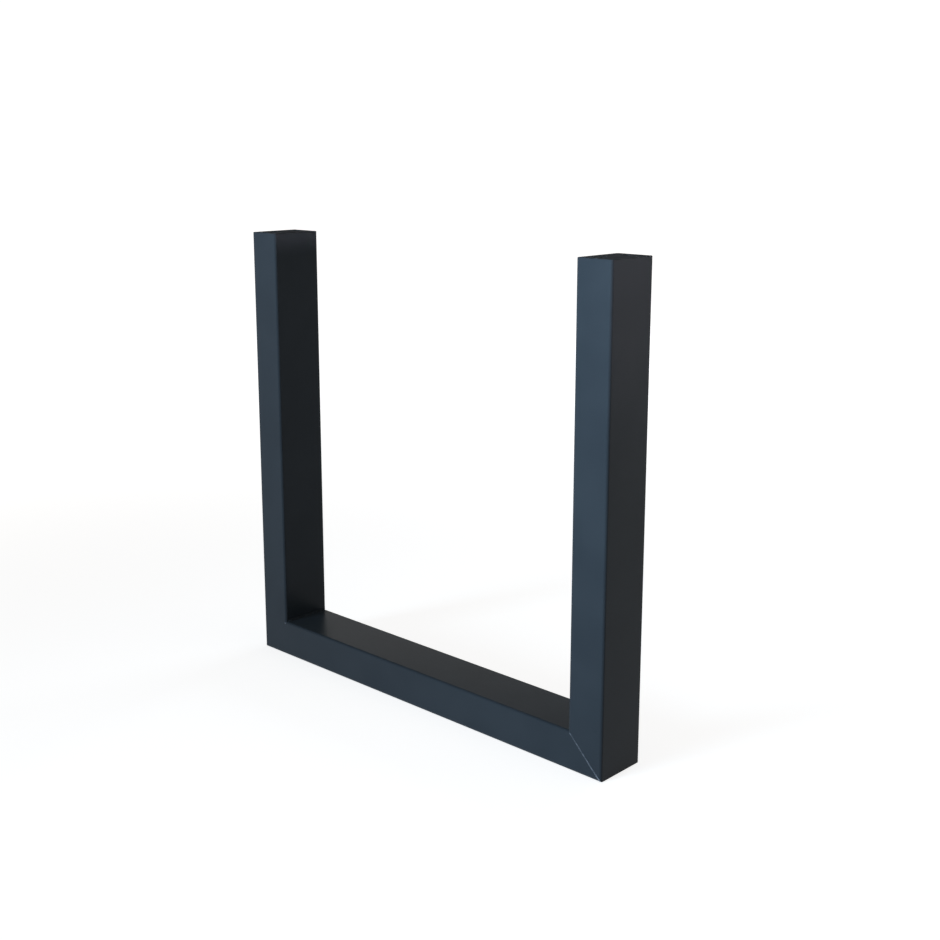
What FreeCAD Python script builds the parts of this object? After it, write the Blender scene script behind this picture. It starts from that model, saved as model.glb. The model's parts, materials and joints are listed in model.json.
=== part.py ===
import FreeCAD, Part
import os
import Sketcher

# U-shaped table leg: two posts and a floor rail of steel box tube, mitred and welded at the
# bottom corners, with a tapped cap welded into the top of each post.
# The origin is on the floor under the middle of the rail: X runs along the rail, Y from front
# to back and Z up.

# Driving sizes in millimetres
SIZES = {
    "frame_width": 750,      # outside of one post to outside of the other
    "frame_height": 730,     # floor to post top
    "tube_face": 60,         # side of the tube seen from the front
    "tube_depth": 90,        # side of the tube from front to back
    "tube_wall": 2,
    "tube_radius": 4,        # outside corner of the tube
    "edge_break": 0.6,       # ground edge round a post's top
    "root_gap": 2,           # weld metal between two mitred ends
    "inside_weld_leg": 2.5,  # fillet weld in the inside corner
    "cap_thickness": 8,
    "cap_radius": 6,         # corner of the cap's outline
    "cap_clearance": 0.2,    # between the cap and the tube round it
    "cap_bevel": 1.5,        # edge of the cap taken off for its weld
    "bolt_hole": 8,          # tapped hole, at the thread's outer diameter
    "bolt_mouth": 9.4,       # countersunk mouth of the tapped hole
    "bolt_spacing": 50,      # between the two holes of a cap, front to back
}

SIDES = {"left": -1, "right": 1}

# Worked-out sizes
POST_OFFSET = "(Sizes.frame_width - Sizes.tube_face) / 2"
BORE_FACE = "(Sizes.tube_face - 2 * Sizes.tube_wall)"
BORE_DEPTH = "(Sizes.tube_depth - 2 * Sizes.tube_wall)"
BORE_RADIUS = "max(Sizes.tube_radius - Sizes.tube_wall; Sizes.tube_wall / 4)"
CAP_FACE = f"({BORE_FACE} - 2 * Sizes.cap_clearance)"
CAP_DEPTH = f"({BORE_DEPTH} - 2 * Sizes.cap_clearance)"

# How far a saw cut runs past the tube
OVERRUN = "Sizes.tube_wall"

doc = FreeCAD.newDocument("u_shaped_table_leg")
sheet = doc.addObject("Spreadsheet::Sheet", "Sizes")


def fill_sheet():
    for row, (name, size) in enumerate(SIZES.items(), start=1):
        sheet.set(f"A{row}", name)
        sheet.set(f"B{row}", str(size))
        sheet.setAlias(f"B{row}", name)
    doc.recompute()


def value(expression):
    return float(sheet.evalExpression(expression))


def new_sketch(body, name, role):
    """Empty sketch on one of the body's own origin planes."""
    sketch = body.newObject("Sketcher::SketchObject", name)
    plane = next(feature for feature in body.Origin.OriginFeatures if feature.Role == role)
    sketch.AttachmentSupport = [(plane, "")]
    sketch.MapMode = "FlatFace"
    return sketch


def bind_constraint(sketch, constraint, expression):
    index = sketch.addConstraint(constraint)
    sketch.setExpression(f"Constraints[{index}]", expression)


def add_rounded_rectangle(sketch, across, up, radius):
    """Closed outline centred on the sketch's origin, with its sizes bound to expressions."""
    half_across = value(across) / 2
    half_up = value(up) / 2
    corner = value(radius)
    quarter = FreeCAD.Units.Quantity("90 deg").getValueAs("rad").Value
    axis = FreeCAD.Vector(0, 0, 1)
    flat = half_across - corner
    tall = half_up - corner
    runs = [
        ((-flat, -half_up), (flat, -half_up)),
        ((half_across, -tall), (half_across, tall)),
        ((flat, half_up), (-flat, half_up)),
        ((-half_across, tall), (-half_across, -tall)),
    ]
    centres = [(flat, -tall), (flat, tall), (-flat, tall), (-flat, -tall)]
    lines = []
    arcs = []
    for turn, (run, centre) in enumerate(zip(runs, centres)):
        start, end = (FreeCAD.Vector(x, y, 0) for x, y in run)
        lines.append(sketch.addGeometry(Part.LineSegment(start, end)))
        circle = Part.Circle(FreeCAD.Vector(*centre, 0), axis, corner)
        arc = Part.ArcOfCircle(circle, (turn - 1) * quarter, turn * quarter)
        arcs.append(sketch.addGeometry(arc))
    for turn in range(4):
        following = lines[(turn + 1) % 4]
        sketch.addConstraint(Sketcher.Constraint("Tangent", lines[turn], 2, arcs[turn], 1))
        sketch.addConstraint(Sketcher.Constraint("Tangent", arcs[turn], 2, following, 1))
    for bottom_or_top in (lines[0], lines[2]):
        sketch.addConstraint(Sketcher.Constraint("Horizontal", bottom_or_top))
    for right_or_left in (lines[1], lines[3]):
        sketch.addConstraint(Sketcher.Constraint("Vertical", right_or_left))
    for first, second in zip(arcs, arcs[1:]):
        sketch.addConstraint(Sketcher.Constraint("Equal", first, second))
    sketch.addConstraint(Sketcher.Constraint("Symmetric", arcs[0], 3, arcs[2], 3, -1, 1))
    width = Sketcher.Constraint("DistanceX", lines[3], 1, lines[1], 1, 2 * half_across)
    height = Sketcher.Constraint("DistanceY", lines[0], 1, lines[2], 1, 2 * half_up)
    bind_constraint(sketch, width, across)
    bind_constraint(sketch, height, up)
    bind_constraint(sketch, Sketcher.Constraint("Radius", arcs[0], corner), radius)


def add_polygon(sketch, corners):
    """Closed polygon, each corner a pair of expressions measured from the sketch's origin."""
    points = [FreeCAD.Vector(value(across), value(up), 0) for across, up in corners]
    lines = []
    for start, end in zip(points, points[1:] + points[:1]):
        lines.append(sketch.addGeometry(Part.LineSegment(start, end)))
    for line, following in zip(lines, lines[1:] + lines[:1]):
        sketch.addConstraint(Sketcher.Constraint("Coincident", line, 2, following, 1))
    for line, point, (across, up) in zip(lines, points, corners):
        bind_constraint(sketch, Sketcher.Constraint("DistanceX", -1, 1, line, 1, point.x), across)
        bind_constraint(sketch, Sketcher.Constraint("DistanceY", -1, 1, line, 1, point.y), up)


def add_pad(body, sketch, length, both_ways=False):
    pad = body.newObject("PartDesign::Pad", f"{sketch.Name}_pad")
    pad.Profile = sketch
    pad.SideType = "Symmetric" if both_ways else "One side"
    pad.setExpression("Length", length)
    doc.recompute()
    return pad


def saw(body, sketch):
    """Cut the sketch's outlines right through the body, both ways."""
    volume = body.Shape.Volume
    cut = body.newObject("PartDesign::Pocket", f"{sketch.Name}_cut")
    cut.Profile = sketch
    cut.SideType = "Symmetric"
    cut.Type = "ThroughAll"
    doc.recompute()
    if body.Shape.Volume >= volume:
        raise ValueError(f"{sketch.Name} cuts nothing")


def break_top_edge(body, pad, size):
    """Chamfer the outer edge of the pad's top face."""
    top = max(pad.Shape.Faces, key=lambda face: face.CenterOfMass.z)
    rim = [
        f"Edge{number}"
        for number, edge in enumerate(pad.Shape.Edges, start=1)
        if any(edge.isSame(side) for side in top.OuterWire.Edges)
    ]
    chamfer = body.newObject("PartDesign::Chamfer", f"{pad.Name}_edge")
    chamfer.Base = (pad, rim)
    chamfer.setExpression("Size", size)
    doc.recompute()


def place(item, across="0", up="0"):
    item.setExpression("Placement.Base.x", across)
    item.setExpression("Placement.Base.z", up)


def mirrored(side, corners):
    """The corners of an outline drawn for the right side, turned over for the left."""
    return [(f"{side} * ({across})", up) for across, up in corners]


def post_length(name, side):
    """Upright tube from the floor to the top, sawn at 45 degrees at its foot."""
    body = doc.addObject("PartDesign::Body", f"{name}_length")
    profile = new_sketch(body, f"{name}_section", "XY_Plane")
    add_rounded_rectangle(profile, "Sizes.tube_face", "Sizes.tube_depth", "Sizes.tube_radius")
    add_rounded_rectangle(profile, BORE_FACE, BORE_DEPTH, BORE_RADIUS)
    pad = add_pad(body, profile, "Sizes.frame_height")
    break_top_edge(body, pad, "Sizes.edge_break")
    mitre = new_sketch(body, f"{name}_mitre", "XZ_Plane")
    outside = f"Sizes.tube_face / 2 + {OVERRUN}"
    inside = f"-({outside})"
    below = f"-{OVERRUN}"
    above = f"Sizes.tube_face + {OVERRUN}"
    add_polygon(mitre, mirrored(side, [(outside, below), (inside, below), (inside, above)]))
    saw(body, mitre)
    place(body, across=f"{side} * {POST_OFFSET}")
    return body


def rail_length():
    """Tube along the floor, sawn at 45 degrees at both ends."""
    body = doc.addObject("PartDesign::Body", "rail_length")
    profile = new_sketch(body, "rail_section", "YZ_Plane")
    add_rounded_rectangle(profile, "Sizes.tube_depth", "Sizes.tube_face", "Sizes.tube_radius")
    add_rounded_rectangle(profile, BORE_DEPTH, BORE_FACE, BORE_RADIUS)
    add_pad(body, profile, "Sizes.frame_width", both_ways=True)
    mitres = new_sketch(body, "rail_mitres", "XZ_Plane")
    end = f"Sizes.frame_width / 2 + {OVERRUN}"
    inside = f"Sizes.frame_width / 2 - Sizes.tube_face - {OVERRUN}"
    above = f"Sizes.tube_face / 2 + {OVERRUN}"
    below = f"-({above})"
    for side in SIDES.values():
        add_polygon(mitres, mirrored(side, [(end, below), (end, above), (inside, above)]))
    saw(body, mitres)
    place(body, up="Sizes.tube_face / 2")
    return body


def corner_seam(name, side):
    """Thin slice along a mitre, from the outside corner to the inside one, that the weld fills."""
    body = doc.addObject("PartDesign::Body", f"{name}_seam")
    outline = new_sketch(body, f"{name}_seam_outline", "XZ_Plane")
    half = "Sizes.root_gap / sqrt(2)"
    outside = OVERRUN
    inside = f"-Sizes.tube_face - {OVERRUN}"
    below = f"-{OVERRUN}"
    above = f"Sizes.tube_face + {OVERRUN}"
    corners = [
        (f"{outside} - {half}", below),
        (f"{outside} + {half}", below),
        (f"{inside} + {half}", above),
        (f"{inside} - {half}", above),
    ]
    add_polygon(outline, mirrored(side, corners))
    add_pad(body, outline, f"Sizes.tube_depth + 2 * {OVERRUN}", both_ways=True)
    place(body, across=f"{side} * Sizes.frame_width / 2")
    return body


def inside_fillet(name, side):
    """Fillet weld along the inside corner, between the rounded edges of the tubes."""
    body = doc.addObject("PartDesign::Body", f"{name}_fillet")
    outline = new_sketch(body, f"{name}_fillet_outline", "XZ_Plane")
    leg = "Sizes.inside_weld_leg"
    add_polygon(outline, mirrored(side, [("0", "0"), ("0", leg), (f"-{leg}", "0")]))
    add_pad(body, outline, "Sizes.tube_depth - 2 * Sizes.tube_radius", both_ways=True)
    inside = f"{side} * (Sizes.frame_width / 2 - Sizes.tube_face)"
    place(body, across=inside, up="Sizes.tube_face")
    return body


def cap_blank(name, side):
    """Block that fits a post's top, bevelled round its upper edge for the weld."""
    body = doc.addObject("PartDesign::Body", name)
    outline = new_sketch(body, f"{name}_outline", "XY_Plane")
    add_rounded_rectangle(outline, CAP_FACE, CAP_DEPTH, "Sizes.cap_radius")
    pad = add_pad(body, outline, "Sizes.cap_thickness")
    break_top_edge(body, pad, "Sizes.cap_bevel")
    place(body, f"{side} * {POST_OFFSET}", "Sizes.frame_height - Sizes.cap_thickness")
    return body


def end_cap(name, side):
    """Cap set flush in a post's top, with two countersunk tapped holes."""
    body = cap_blank(f"{name}_end_cap", side)
    centres = new_sketch(body, f"{name}_hole_centres", "XY_Plane")
    centres.setExpression("AttachmentOffset.Base.z", "Sizes.cap_thickness")
    radius = "Sizes.bolt_hole / 2"
    for along in (-1, 1):
        offset = f"{along} * Sizes.bolt_spacing / 2"
        centre = FreeCAD.Vector(0, value(offset), 0)
        circle = Part.Circle(centre, FreeCAD.Vector(0, 0, 1), value(radius))
        hole = centres.addGeometry(circle)
        centres.addConstraint(Sketcher.Constraint("PointOnObject", hole, 3, -2))
        up = Sketcher.Constraint("DistanceY", -1, 1, hole, 3, centre.y)
        bind_constraint(centres, up, offset)
        bind_constraint(centres, Sketcher.Constraint("Radius", hole, circle.Radius), radius)
    doc.recompute()
    holes = body.newObject("PartDesign::Hole", f"{name}_tapped_holes")
    holes.Profile = centres
    holes.DepthType = "ThroughAll"
    holes.HoleCutType = "Countersink"
    holes.HoleCutCustomValues = True
    holes.setExpression("Diameter", "Sizes.bolt_hole")
    holes.setExpression("HoleCutDiameter", "Sizes.bolt_mouth")
    doc.recompute()
    return body


def cap_weld(name, side):
    """Weld metal that fills the bevel between the cap and the tube, flush with both."""
    plug = doc.addObject("PartDesign::Body", f"{name}_weld_plug")
    outline = new_sketch(plug, f"{name}_weld_plug_outline", "XY_Plane")
    add_rounded_rectangle(outline, BORE_FACE, BORE_DEPTH, BORE_RADIUS)
    add_pad(plug, outline, "Sizes.cap_bevel")
    place(plug, f"{side} * {POST_OFFSET}", "Sizes.frame_height - Sizes.cap_bevel")
    return cut_away(f"{name}_cap_weld", plug, cap_blank(f"{name}_undrilled_cap", side))


def cut_away(name, base, tool):
    cut = doc.addObject("Part::Cut", name)
    cut.Base = base
    cut.Tool = tool
    cut.Label = name
    doc.recompute()
    return cut


def fuse(name, shapes):
    joined = doc.addObject("Part::MultiFuse", name)
    joined.Shapes = shapes
    joined.Refine = True
    joined.Label = name
    doc.recompute()
    return joined


def corner_weld(name, frame, seam, fillet):
    """Weld metal all round a mitre, as thick as the tube's wall, with the inside fillet on it."""
    ring = doc.addObject("Part::Common", f"{name}_seam_ring")
    ring.Base = frame
    ring.Tool = seam
    doc.recompute()
    return fuse(f"{name}_corner_weld", [ring, fillet])


def build():
    posts = {name: post_length(name, side) for name, side in SIDES.items()}
    rail = rail_length()
    seams = {name: corner_seam(name, side) for name, side in SIDES.items()}
    frame = fuse("sawn_frame", [posts["left"], rail, posts["right"]])
    parts = [cut_away("bottom_rail", rail, fuse("both_seams", list(seams.values())))]
    for name, side in SIDES.items():
        parts.append(cut_away(f"{name}_post", posts[name], seams[name]))
        fillet = inside_fillet(name, side)
        parts.append(corner_weld(name, frame, seams[name], fillet))
        parts.append(end_cap(name, side))
        parts.append(cap_weld(name, side))
    return parts


def check(parts):
    for item in doc.Objects:
        if "Invalid" in item.State or "Error" in item.State:
            raise ValueError(f"{item.Name} failed to compute")
    for part in parts:
        shape = part.Shape
        if shape.isNull() or not shape.isValid() or len(shape.Solids) != 1:
            raise ValueError(f"{part.Label} is not one valid solid")


fill_sheet()
sub_parts = build()
doc.recompute()
check(sub_parts)
os.makedirs("parts", exist_ok=True)
for sub_part in sub_parts:
    sub_part.Shape.exportStep(f"parts/{sub_part.Label}.step")
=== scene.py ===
import json
import math
from collections import namedtuple

import bmesh
import bpy
from mathutils import Matrix, Vector


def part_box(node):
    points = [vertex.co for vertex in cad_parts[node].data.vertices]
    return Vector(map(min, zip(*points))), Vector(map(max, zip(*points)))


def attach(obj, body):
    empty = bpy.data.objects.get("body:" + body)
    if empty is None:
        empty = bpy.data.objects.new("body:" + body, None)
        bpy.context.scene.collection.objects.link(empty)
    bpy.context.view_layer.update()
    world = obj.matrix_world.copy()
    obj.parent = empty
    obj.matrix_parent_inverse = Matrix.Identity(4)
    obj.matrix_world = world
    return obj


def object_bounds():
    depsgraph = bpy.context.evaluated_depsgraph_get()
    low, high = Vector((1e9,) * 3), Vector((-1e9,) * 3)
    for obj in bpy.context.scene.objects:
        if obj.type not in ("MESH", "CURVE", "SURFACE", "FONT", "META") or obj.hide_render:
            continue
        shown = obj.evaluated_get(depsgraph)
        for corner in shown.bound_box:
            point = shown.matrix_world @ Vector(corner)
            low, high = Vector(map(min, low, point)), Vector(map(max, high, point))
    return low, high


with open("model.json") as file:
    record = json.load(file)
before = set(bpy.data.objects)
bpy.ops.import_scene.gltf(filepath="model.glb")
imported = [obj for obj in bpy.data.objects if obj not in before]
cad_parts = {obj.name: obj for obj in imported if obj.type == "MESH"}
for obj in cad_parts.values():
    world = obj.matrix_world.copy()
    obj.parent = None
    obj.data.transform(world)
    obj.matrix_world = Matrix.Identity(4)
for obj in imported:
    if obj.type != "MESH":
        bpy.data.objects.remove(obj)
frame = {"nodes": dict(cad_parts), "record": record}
cad_low, cad_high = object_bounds()

# Sizes in metres, read from the frame where it holds them
FRONT = cad_low.y
BACK = cad_high.y
HALF_WIDTH = cad_high.x
HEIGHT = cad_high.z
RIGHT_POST_LOW, RIGHT_POST_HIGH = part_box("right_post")
TUBE_FACE = RIGHT_POST_HIGH.x - RIGHT_POST_LOW.x
TUBE_RADIUS = 0.004
INSIDE_X = HALF_WIDTH - TUBE_FACE
SIDES = {"left": -1, "right": 1}
FACES = {"front": -1, "back": 1}

# Weld left proud on the mitres, with start and end as shares of the mitre from its outer corner
Seam = namedtuple("Seam", "side face start end width height")
SEAMS = {
    "right_front_seam": Seam("right", "front", 0.010, 0.975, 0.0022, 0.00036),
    "left_front_nub": Seam("left", "front", 0.930, 0.990, 0.0044, 0.00070),
    "right_back_seam": Seam("right", "back", 0.012, 0.988, 0.0014, 0.00016),
    "left_back_seam": Seam("left", "back", 0.012, 0.988, 0.0014, 0.00014),
}
SEAM_SUNK = 0.0003
SEAM_STEP = 0.0006
SEAM_FEWEST_STEPS = 12
SEAM_WAVER = 0.0003
SEAM_WAVER_PACE = 0.45
SEAM_WAVER_PHASE = 0.6
SEAM_CROWN_WOBBLE = 0.3
SEAM_WIDTH_WOBBLE = 0.2
SEAM_WIDTH_PHASE = 1.7
SEAM_CROWN_SHARES = (-1, -0.6, -0.2, 0.2, 0.6, 1)
SEAM_FOOT_SHARES = (0.7, -0.7)

# A seam's size at the mitre's outer and inner corner, at its own tips, and its growth per step
SEAM_AT_OUTER = 1.3
SEAM_AT_INNER = 0.7
SEAM_TIP = 0.08
SEAM_START_GROWTH = 0.3
SEAM_END_GROWTH = 0.12

# Uneven hand work: length for each radian of its slow and quick waves, and their shares
WANDER_SLOW = 0.0041
WANDER_QUICK = 0.0013
WANDER_SLOW_SHARE = 0.6
WANDER_QUICK_SHARE = 0.4
WANDER_PHASE_RATIO = 2.3

# Fillet bead in the inside corners
BEAD_LEG = 0.0029
BEAD_SUNK = 0.0004
BEAD_STEP = 0.0002
BEAD_RIPPLE = 0.0016
BEAD_RIPPLE_HEIGHT = 0.00022
BEAD_RIPPLE_WOBBLE = 0.8
BEAD_LEAST_LEG = 0.96
BEAD_LEG_RIPPLE = 0.07
BEAD_LEG_WOBBLE = 0.03
BEAD_LEG_PHASE = 2.1
BEAD_SWELL = 0.10
BEAD_TIP = 0.35
BEAD_TIP_RUN = 0.003
BEAD_SHARES = (0.0, 0.12, 0.3, 0.5, 0.7, 0.88, 1.0)

# Tapped holes in the caps, with half the thread's width at its foot and its crest
BOLTS = next(m for m in frame["record"]["mounts"] if m["name"] == "table_top_bolts")
BOLT_REACH_X = BOLTS["dims"]["spacing_x_mm"] / 2000
BOLT_REACH_Y = BOLTS["dims"]["spacing_y_mm"] / 2000
THREAD_OUTER = BOLTS["dims"]["hole_r_mm"] / 1000
THREAD_INNER = 0.00335
THREAD_PITCH = 0.00125
THREAD_FOOT = 0.44 * THREAD_PITCH
THREAD_CREST = 0.0625 * THREAD_PITCH
THREAD_SUNK = 0.00005
THREAD_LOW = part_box("right_end_cap")[0].z + 0.0004
THREAD_HIGH = HEIGHT - 0.0016
THREAD_STEPS_PER_TURN = 48
THREAD_FADE_STEPS = 12
THREAD_LEAST_FADE = 0.02

# The post tops are ground level after welding, and their coat is duller
TOP_BAND_LOW = HEIGHT - 0.0008
TOP_BAND_HIGH = HEIGHT - 0.0002
TOP_DULLNESS = 0.45

# The seams are coloured lighter near the floor: partly coat worn thinner, partly painted light
# lifting the shade where the seams turn to face down
FOOT_HEIGHT = 0.016
FOOT_WEAR_AND_PAINTED_LIFT = 0.5

# Colours, linear
COAT_DARK = (0.0175, 0.0235, 0.0305, 1)
COAT_LIGHT = (0.0205, 0.0270, 0.0345, 1)
WELD_DARK = (0.0170, 0.0230, 0.0300, 1)
WELD_LIGHT = (0.0215, 0.0280, 0.0355, 1)
RING_DARK = (0.0250, 0.0330, 0.0425, 1)
RING_LIGHT = (0.0430, 0.0540, 0.0680, 1)
# Seam colours, lighter than the coat: partly the thin rubbed coat on the crests, partly a painted
# highlight along them
SEAM_HIGHLIGHT_DIM = (0.0340, 0.0440, 0.0570, 1)
SEAM_HIGHLIGHT_BRIGHT = (0.1250, 0.1380, 0.1660, 1)
STEEL_DARK = (0.2100, 0.2250, 0.2500, 1)
STEEL_LIGHT = (0.3600, 0.3850, 0.4300, 1)
STAGE_COLOUR = (0.44, 0.45, 0.47, 1)
SKY_COLOUR = (1.0, 0.88, 0.74, 1)
WHITE = (1, 1, 1, 1)

# Specular level and range of roughness
COAT_MIRROR = 0.075
BEAD_MIRROR = 0.03
SEAM_MIRROR = 0.15
COAT_ROUGHNESS = (0.30, 0.37)
BEAD_ROUGHNESS = (0.42, 0.52)
SEAM_ROUGHNESS = (0.30, 0.45)
RING_ROUGHNESS = (0.55, 0.70)
STEEL_ROUGHNESS = (0.30, 0.42)

# Part of a noise texture's range that is spread over a colour or a number
NOISE_LOW = 0.25
NOISE_HIGH = 0.75

# Stage, whose floor glows a little less near the object
STAGE_RADIUS = 40.0
STAGE_SIDES = 128
WALL_HEIGHT = 13.8
FLOOR_DROP = 0.0003
FULL_GLOW = 1.0
FLOOR_GLOW = 0.785
FLOOR_GLOW_RADIUS = 0.7
FULL_GLOW_RADIUS = 3.0

# Sky, and the place of the lamps at the two ends
SKY_STRENGTH = 0.265
END_LAMP_X = 5.0
END_LAMP_Z = 0.9

# Camera at the photograph's viewing angle, for a square picture of this many pixels
PICTURE_PIXELS = 940
FOCAL_PIXELS = 1332.1
AXIS_PIXEL_Y = 420
SENSOR_MM = 36
CAMERA_PLACE = (1.4207, -1.4214, 0.8831)
CAMERA_YAW = math.radians(-43.311)
CAMERA_PITCH = math.radians(-11.950)
CAMERA_ROLL = math.radians(0.044)


# Material nodes

class Nodes:
    """Short calls for building one material's node tree."""

    def __init__(self, name):
        self.material = bpy.data.materials.new(name)
        self.material.use_nodes = True
        self.tree = self.material.node_tree
        self.shader = self.tree.nodes["Principled BSDF"]
        self.place = self.add("ShaderNodeTexCoord").outputs["Object"]

    def add(self, kind, **settings):
        node = self.tree.nodes.new(kind)
        for key, setting in settings.items():
            setattr(node, key, setting)
        return node

    def link(self, source, target):
        self.tree.links.new(source, target)

    def noise(self, scale, detail=2.0):
        node = self.add("ShaderNodeTexNoise")
        node.inputs["Scale"].default_value = scale
        node.inputs["Detail"].default_value = detail
        self.link(self.place, node.inputs["Vector"])
        return node.outputs["Fac"]

    def ramp(self, source, dark, light, low=NOISE_LOW, high=NOISE_HIGH):
        """Colour between two others, blended over a part of the source's range."""
        node = self.add("ShaderNodeValToRGB")
        node.color_ramp.interpolation = "EASE"
        node.color_ramp.elements[0].position = low
        node.color_ramp.elements[0].color = dark
        node.color_ramp.elements[1].position = high
        node.color_ramp.elements[1].color = light
        self.link(source, node.inputs["Fac"])
        return node.outputs["Color"]

    def change(self, source, low, high, at_low, at_high):
        """Number that goes smoothly from one value to another while the source rises."""
        node = self.add("ShaderNodeMapRange", interpolation_type="SMOOTHSTEP")
        node.inputs["From Min"].default_value = low
        node.inputs["From Max"].default_value = high
        node.inputs["To Min"].default_value = at_low
        node.inputs["To Max"].default_value = at_high
        self.link(source, node.inputs["Value"])
        return node.outputs["Result"]

    def spread(self, noise, limits):
        return self.change(noise, NOISE_LOW, NOISE_HIGH, *limits)

    def by_height(self, low, high, at_low, at_high):
        """Number that changes with the height above the floor."""
        split = self.add("ShaderNodeSeparateXYZ")
        self.link(self.place, split.inputs["Vector"])
        return self.change(split.outputs["Z"], low, high, at_low, at_high)

    def combine(self, operation, first, second):
        node = self.add("ShaderNodeMath", operation=operation)
        self.link(first, node.inputs[0])
        self.link(second, node.inputs[1])
        return node.outputs["Value"]

    def bump(self, height, strength, distance, below=None):
        node = self.add("ShaderNodeBump")
        node.inputs["Strength"].default_value = strength
        node.inputs["Distance"].default_value = distance
        self.link(height, node.inputs["Height"])
        if below is not None:
            self.link(below, node.inputs["Normal"])
        return node.outputs["Normal"]

    def set(self, name, setting):
        self.shader.inputs[name].default_value = setting

    def feed(self, name, source):
        self.link(source, self.shader.inputs[name])


# Finishes

def coated_steel(name, dark, light, roughness=COAT_ROUGHNESS, peel=0.3, mirror=COAT_MIRROR):
    """Satin powder coat: orange peel and grain in the bump, slow drifts in colour and gloss."""
    nodes = Nodes(name)
    drift = nodes.noise(scale=14, detail=1)
    nodes.feed("Base Color", nodes.ramp(drift, dark, light))
    smear = nodes.spread(nodes.noise(scale=5), roughness)
    ground_top = nodes.by_height(TOP_BAND_LOW, TOP_BAND_HIGH, 0, TOP_DULLNESS)
    nodes.feed("Roughness", nodes.combine("ADD", smear, ground_top))
    orange_peel = nodes.bump(nodes.noise(scale=620, detail=1), strength=peel, distance=0.00006)
    grain = nodes.bump(nodes.noise(scale=2400), strength=0.2, distance=0.00002, below=orange_peel)
    nodes.feed("Normal", grain)
    nodes.set("Specular IOR Level", mirror)
    return nodes.material


def seam_painted_highlight(name):
    """Crest of a ground seam, where the coat is thin and rubbed, coloured lighter as a painted
    highlight along the crest.
    """
    nodes = Nodes(name)
    # Lighter near the floor: partly worn coat, partly painted light against the shade where the
    # seam faces down
    foot_wear_and_lift = nodes.by_height(0, FOOT_HEIGHT, FOOT_WEAR_AND_PAINTED_LIFT, 0)
    patches = nodes.combine("ADD", nodes.noise(scale=320, detail=3), foot_wear_and_lift)
    nodes.feed("Base Color", nodes.ramp(patches, SEAM_HIGHLIGHT_DIM, SEAM_HIGHLIGHT_BRIGHT, low=0.3, high=0.9))
    nodes.feed("Roughness", nodes.spread(nodes.noise(scale=700), SEAM_ROUGHNESS))
    nodes.feed("Normal", nodes.bump(nodes.noise(scale=1500), strength=0.3, distance=0.00004))
    nodes.set("Specular IOR Level", SEAM_MIRROR)
    return nodes.material


def ring_steel(name):
    """Weld round a cap, ground level with it, under a thin coat."""
    nodes = Nodes(name)
    patches = nodes.noise(scale=260, detail=3)
    nodes.feed("Base Color", nodes.ramp(patches, RING_DARK, RING_LIGHT))
    nodes.feed("Roughness", nodes.spread(nodes.noise(scale=700), RING_ROUGHNESS))
    nodes.feed("Normal", nodes.bump(nodes.noise(scale=1500), strength=0.3, distance=0.00004))
    nodes.set("Specular IOR Level", COAT_MIRROR)
    return nodes.material


def bare_steel(name):
    """Tapped thread, cut after coating."""
    nodes = Nodes(name)
    patches = nodes.noise(scale=900, detail=3)
    nodes.feed("Base Color", nodes.ramp(patches, STEEL_DARK, STEEL_LIGHT))
    nodes.feed("Roughness", nodes.spread(nodes.noise(scale=1800), STEEL_ROUGHNESS))
    nodes.feed("Normal", nodes.bump(nodes.noise(scale=3000), strength=0.2, distance=0.00002))
    nodes.set("Metallic", 1.0)
    return nodes.material


def stage_finish(name, near_glow):
    """Pale dull surface that also glows white to the camera, to reflections and through glass."""
    nodes = Nodes(name)
    rays = nodes.add("ShaderNodeLightPath").outputs
    seen = nodes.combine("MAXIMUM", rays["Is Camera Ray"], rays["Is Glossy Ray"])
    seen = nodes.combine("MAXIMUM", seen, rays["Is Transmission Ray"])
    distance = nodes.add("ShaderNodeVectorMath", operation="LENGTH")
    nodes.link(nodes.place, distance.inputs[0])
    glow = nodes.change(
        distance.outputs["Value"], FLOOR_GLOW_RADIUS, FULL_GLOW_RADIUS, near_glow, FULL_GLOW
    )
    nodes.feed("Emission Strength", nodes.combine("MULTIPLY", glow, seen))
    nodes.set("Emission Color", WHITE)
    nodes.set("Base Color", STAGE_COLOUR)
    nodes.set("Roughness", 1.0)
    nodes.set("Specular IOR Level", 0.0)
    return nodes.material


def dress_nodes():
    """Coat every CAD piece by its slot, and the ground rings round the caps by themselves."""
    finishes = {
        "black_powder_coat": coated_steel("powder_coat", COAT_DARK, COAT_LIGHT),
        "coated_weld": coated_steel("weld_coat", WELD_DARK, WELD_LIGHT),
    }
    slots = {row["node"]: row["material_slot"] for row in frame["record"]["subparts"]}
    for name, node in frame["nodes"].items():
        node.data.materials[0] = finishes[slots[name]]
    ring = ring_steel("ring_coat")
    for side_name in SIDES:
        frame["nodes"][f"{side_name}_cap_weld"].data.materials[0] = ring


# Pieces

def swept_piece(name, sections, material):
    """Closed mesh through equal rings of points, which rides on the one body."""
    mesh = bpy.data.meshes.new(name)
    build = bmesh.new()
    rings = [[build.verts.new(point) for point in section] for section in sections]
    for ring, following in zip(rings, rings[1:]):
        for index, vert in enumerate(ring):
            after = (index + 1) % len(ring)
            build.faces.new((vert, ring[after], following[after], following[index]))
    build.faces.new(list(reversed(rings[0])))
    build.faces.new(rings[-1])
    bmesh.ops.recalc_face_normals(build, faces=build.faces)
    build.to_mesh(mesh)
    build.free()
    for polygon in mesh.polygons:
        polygon.use_smooth = len(polygon.vertices) == 4
    mesh.materials.append(material)
    piece = bpy.data.objects.new(name, mesh)
    bpy.context.scene.collection.objects.link(piece)
    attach(piece, "root")


def wander(distance, phase):
    """Uneven hand-made wobble between about -1 and 1, the same on every run."""
    slow = math.sin(distance / WANDER_SLOW + phase)
    quick = math.sin(distance / WANDER_QUICK + WANDER_PHASE_RATIO * phase)
    return WANDER_SLOW_SHARE * slow + WANDER_QUICK_SHARE * quick


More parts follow.
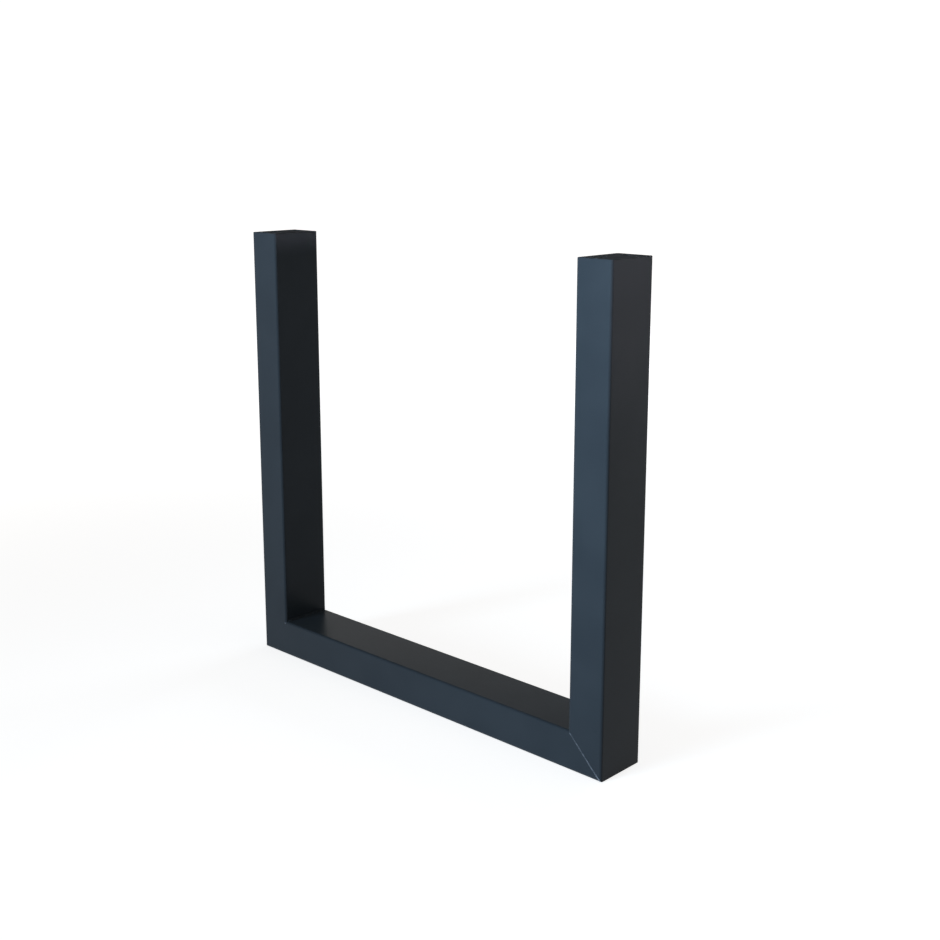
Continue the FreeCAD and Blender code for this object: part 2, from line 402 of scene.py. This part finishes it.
def mitre_point(side, face, along):
    """Point of a mitre line and its outward normal, 0 at the outer corner and 1 at the inner.

    The line lies in the front or back face and bends over the tube's rounded edges at both ends.
    """
    depth = BACK if face > 0 else FRONT
    run = TUBE_FACE * along
    into = min(run, TUBE_FACE - run)
    lean = max(0.0, 1 - into / TUBE_RADIUS)
    upright = math.sqrt(1 - lean * lean)
    outward = 1 if along < 0.5 else -1
    diagonal = Vector((side * outward, 0, -outward)).normalized()
    normal = Vector((0, face, 0)) * upright + diagonal * lean
    drop = TUBE_RADIUS * (1 - upright)
    point = Vector((side * (HALF_WIDTH - run), depth - face * drop, run))
    return point, normal.normalized()


def seam_taper(along, step, steps):
    """Size of a seam on its way: larger towards the outer corner, and thin at both tips."""
    trend = SEAM_AT_OUTER + (SEAM_AT_INNER - SEAM_AT_OUTER) * along
    from_start = SEAM_TIP + SEAM_START_GROWTH * step
    from_end = SEAM_TIP + SEAM_END_GROWTH * (steps - step)
    return trend * min(1.0, from_start, from_end)


def seam_ridge(name, material):
    """Thin crowned line of weld along a mitre, sunk a little into the weld under it."""
    seam = SEAMS[name]
    side = SIDES[seam.side]
    face = FACES[seam.face]
    length = TUBE_FACE * math.sqrt(2)
    steps = max(SEAM_FEWEST_STEPS, round((seam.end - seam.start) * length / SEAM_STEP))
    along_seam = Vector((-side, 0, 1)).normalized()
    across = along_seam.cross(Vector((0, face, 0))).normalized()
    sections = []
    for step in range(steps + 1):
        along = seam.start + (seam.end - seam.start) * step / steps
        point, normal = mitre_point(side, face, along)
        taper = seam_taper(along, step, steps)
        distance = along * length
        crown = seam.height * taper * (1 + SEAM_CROWN_WOBBLE * wander(distance, side))
        wobble = SEAM_WIDTH_WOBBLE * wander(distance, SEAM_WIDTH_PHASE)
        half = 0.5 * seam.width * taper * (1 + wobble)
        waver = SEAM_WAVER * wander(distance * SEAM_WAVER_PACE, SEAM_WAVER_PHASE)
        middle = point + across * waver
        top = [
            middle + across * half * share + normal * crown * (1 - share * share)
            for share in SEAM_CROWN_SHARES
        ]
        under = [middle + across * half * share - normal * SEAM_SUNK for share in SEAM_FOOT_SHARES]
        sections.append(top + under)
    swept_piece(name, sections, material)


def bead_section(side, y, leg, swell):
    """Outline of a fillet bead across an inside corner, sunk a little into both tubes."""
    section = []
    for share in BEAD_SHARES:
        bulge = swell * math.sin(math.pi * share) / math.sqrt(2)
        x = INSIDE_X - leg * (1 - share) - bulge
        z = TUBE_FACE + leg * share + bulge
        section.append(Vector((side * x, y, z)))
    sunk_x = INSIDE_X + BEAD_SUNK
    sunk_z = TUBE_FACE - BEAD_SUNK
    section.append(Vector((side * sunk_x, y, TUBE_FACE + leg)))
    section.append(Vector((side * sunk_x, y, sunk_z)))
    section.append(Vector((side * (INSIDE_X - leg), y, sunk_z)))
    return section


def inside_bead(side_name, material):
    """Rippled fillet bead along an inside corner."""
    side = SIDES[side_name]
    reach = BACK - TUBE_RADIUS
    steps = round(2 * reach / BEAD_STEP)
    sections = []
    for step in range(steps + 1):
        y = -reach + 2 * reach * step / steps
        ripple_turn = math.pi * y / BEAD_RIPPLE + BEAD_RIPPLE_WOBBLE * wander(y, side)
        ripple = abs(math.sin(ripple_turn))
        tip = min(1.0, BEAD_TIP + (reach - abs(y)) / BEAD_TIP_RUN)
        wobble = BEAD_LEG_WOBBLE * wander(y, BEAD_LEG_PHASE)
        leg = BEAD_LEG * tip * (BEAD_LEAST_LEG + BEAD_LEG_RIPPLE * ripple + wobble)
        swell = BEAD_SWELL * leg + BEAD_RIPPLE_HEIGHT * ripple
        sections.append(bead_section(side, y, leg, swell))
    swept_piece(f"{side_name}_inside_bead", sections, material)


def bolt_thread(name, centre_x, centre_y, material):
    """Helical ridge of the thread in a tapped hole."""
    turns = (THREAD_HIGH - THREAD_LOW) / THREAD_PITCH
    steps = round(turns * THREAD_STEPS_PER_TURN)
    wall = THREAD_OUTER + THREAD_SUNK
    sections = []
    for step in range(steps + 1):
        angle = 2 * math.pi * step / THREAD_STEPS_PER_TURN
        z = THREAD_LOW + THREAD_PITCH * step / THREAD_STEPS_PER_TURN
        fade = min(1.0, step / THREAD_FADE_STEPS, (steps - step) / THREAD_FADE_STEPS)
        inner = THREAD_OUTER - (THREAD_OUTER - THREAD_INNER) * max(fade, THREAD_LEAST_FADE)
        outline = [
            (wall, -THREAD_FOOT),
            (inner, -THREAD_CREST),
            (inner, THREAD_CREST),
            (wall, THREAD_FOOT),
        ]
        sections.append([
            Vector((centre_x + r * math.cos(angle), centre_y + r * math.sin(angle), z + rise))
            for r, rise in outline
        ])
    swept_piece(name, sections, material)


def bolt_threads(material):
    for side_name, side in SIDES.items():
        for face_name, face in FACES.items():
            name = f"{side_name}_{face_name}_thread"
            bolt_thread(name, side * BOLT_REACH_X, face * BOLT_REACH_Y, material)


# Stage, light and camera

def stage_piece(name, build, height, finish):
    mesh = bpy.data.meshes.new(name)
    build.to_mesh(mesh)
    build.free()
    mesh.materials.append(finish)
    item = bpy.data.objects.new(name, mesh)
    item.location.z = height
    bpy.context.scene.collection.objects.link(item)


def pale_stage():
    """Round pale floor, which keeps the object's shadow, inside a low white wall."""
    floor = bmesh.new()
    bmesh.ops.create_circle(floor, cap_ends=True, segments=STAGE_SIDES, radius=STAGE_RADIUS)
    stage_piece("floor", floor, -FLOOR_DROP, stage_finish("floor", FLOOR_GLOW))
    wall = bmesh.new()
    bmesh.ops.create_cone(
        wall, segments=STAGE_SIDES, radius1=STAGE_RADIUS, radius2=STAGE_RADIUS, depth=WALL_HEIGHT
    )
    stage_piece("wall", wall, WALL_HEIGHT / 2, stage_finish("wall", FULL_GLOW))


def area_lamp(name, place, target, size, power, colour, spread=180, mirrored=True):
    lamp = bpy.data.lights.new(name, "AREA")
    lamp.spread = math.radians(spread)
    lamp.shape = "RECTANGLE"
    lamp.size, lamp.size_y = size
    lamp.energy = power
    lamp.color = colour
    item = bpy.data.objects.new(name, lamp)
    item.location = place
    item.visible_glossy = mirrored
    item.rotation_mode = "QUATERNION"
    item.rotation_quaternion = (Vector(target) - Vector(place)).to_track_quat("-Z", "Y")
    bpy.context.scene.collection.objects.link(item)


def studio_light():
    """Cool lamps in front and behind, faint warm ones above and at the ends, and a dim warm sky.

    The coat mirrors only the one above, which keeps the tubes' rounded edges dark.
    """
    area_lamp(
        "window", place=(-0.7, -4.6, 1.6), target=(1.1, 0, 1.6), size=(2.4, 2.4),
        power=115, colour=(0.70, 0.87, 1.0), spread=50, mirrored=False,
    )
    area_lamp(
        "rear", place=(0, 4.6, 1.0), target=(0, 0, 0.4), size=(2.0, 1.6),
        power=125, colour=(0.82, 0.92, 1.0), mirrored=False,
    )
    area_lamp(
        "ceiling", place=(1.6, 0.6, 2.6), target=(0.2, 0, 0.4), size=(2.0, 2.0),
        power=5, colour=(1.0, 0.90, 0.78),
    )
    for name, side in SIDES.items():
        area_lamp(
            name, place=(END_LAMP_X * side, 0, END_LAMP_Z), target=(0, 0, END_LAMP_Z),
            size=(0.2, 0.2), power=0.9, colour=(1.0, 0.75, 0.72), spread=11, mirrored=False,
        )
    world = bpy.data.worlds.new("studio")
    world.use_nodes = True
    sky = world.node_tree.nodes["Background"]
    sky.inputs["Color"].default_value = SKY_COLOUR
    sky.inputs["Strength"].default_value = SKY_STRENGTH
    bpy.context.scene.world = world


def photograph_camera():
    camera = bpy.data.cameras.new("camera")
    camera.sensor_width = SENSOR_MM
    camera.lens = FOCAL_PIXELS * SENSOR_MM / PICTURE_PIXELS
    camera.shift_y = (AXIS_PIXEL_Y - PICTURE_PIXELS / 2) / PICTURE_PIXELS
    item = bpy.data.objects.new("camera", camera)
    level = math.cos(CAMERA_PITCH)
    forward = Vector((
        math.sin(CAMERA_YAW) * level,
        math.cos(CAMERA_YAW) * level,
        math.sin(CAMERA_PITCH),
    ))
    flat_right = Vector((math.cos(CAMERA_YAW), -math.sin(CAMERA_YAW), 0))
    flat_up = flat_right.cross(forward)
    right = flat_right * math.cos(CAMERA_ROLL) + flat_up * math.sin(CAMERA_ROLL)
    up = flat_up * math.cos(CAMERA_ROLL) - flat_right * math.sin(CAMERA_ROLL)
    turn = Matrix((right, up, -forward)).transposed().to_4x4()
    item.matrix_world = Matrix.Translation(CAMERA_PLACE) @ turn
    bpy.context.scene.collection.objects.link(item)
    bpy.context.scene.camera = item


dress_nodes()
# Seam crests get a lighter colour that paints their highlight line
seam_highlight_finish = seam_painted_highlight("seam_crest_painted_highlight")
for seam_name in SEAMS:
    seam_ridge(seam_name, seam_highlight_finish)
bead_finish = coated_steel(
    "bead_coat", WELD_DARK, WELD_LIGHT, BEAD_ROUGHNESS, peel=0.4, mirror=BEAD_MIRROR
)
for bead_side in SIDES:
    inside_bead(bead_side, bead_finish)
bolt_threads(bare_steel("cut_thread"))
pale_stage()
studio_light()
photograph_camera()
bpy.context.scene.view_settings.view_transform = "Standard"
